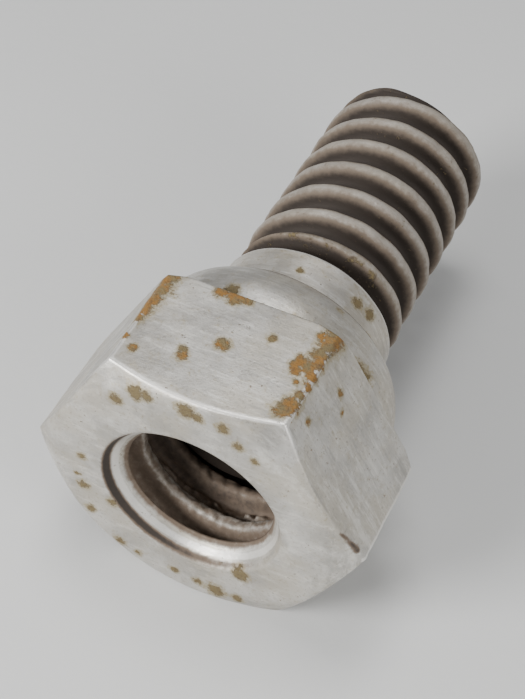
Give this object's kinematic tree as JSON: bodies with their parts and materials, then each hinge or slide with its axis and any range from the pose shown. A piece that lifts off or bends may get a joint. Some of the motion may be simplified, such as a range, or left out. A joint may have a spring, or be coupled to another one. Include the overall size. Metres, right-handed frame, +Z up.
{
  "type": "stud and hexagon nut",
  "caption": "Round-threaded stud with a plain shank, screwed into a chamfered hexagon nut that carries a captive rounded washer.",
  "frame": {"origin": "centre of the nut's front face, on the common axis", "axes": "+Y runs along the axis from the nut to the stud's tip, +Z is up with two of the nut's flats level, X is across the nut's corners"},
  "size_m": [0.022, 0.0353, 0.019],
  "materials": {
    "plated_steel": "pale satin zinc plate with rust spots",
    "worn_thread_steel": "worn plate, brown and dirty in the thread"
  },
  "bodies": {
    "stud": {"stud": "worn_thread_steel"},
    "washer": {"round_washer": "plated_steel"},
    "nut": {"hex_nut": "plated_steel"}
  },
  "joints": [
    {"name": "nut_travel", "type": "slide", "parent": "stud", "child": "washer", "axis": [0, -1, 0], "range_m": [0, 0.00571]},
    {"name": "nut_turn", "type": "hinge", "parent": "washer", "child": "nut", "pos_m": [0, 0, 0], "axis": [0, -1, 0], "range_deg": [0, 810]}
  ],
  "couplings": [
    {"joint": "nut_turn", "follows": "nut_travel", "rad_per_m": 2473.7}
  ]
}
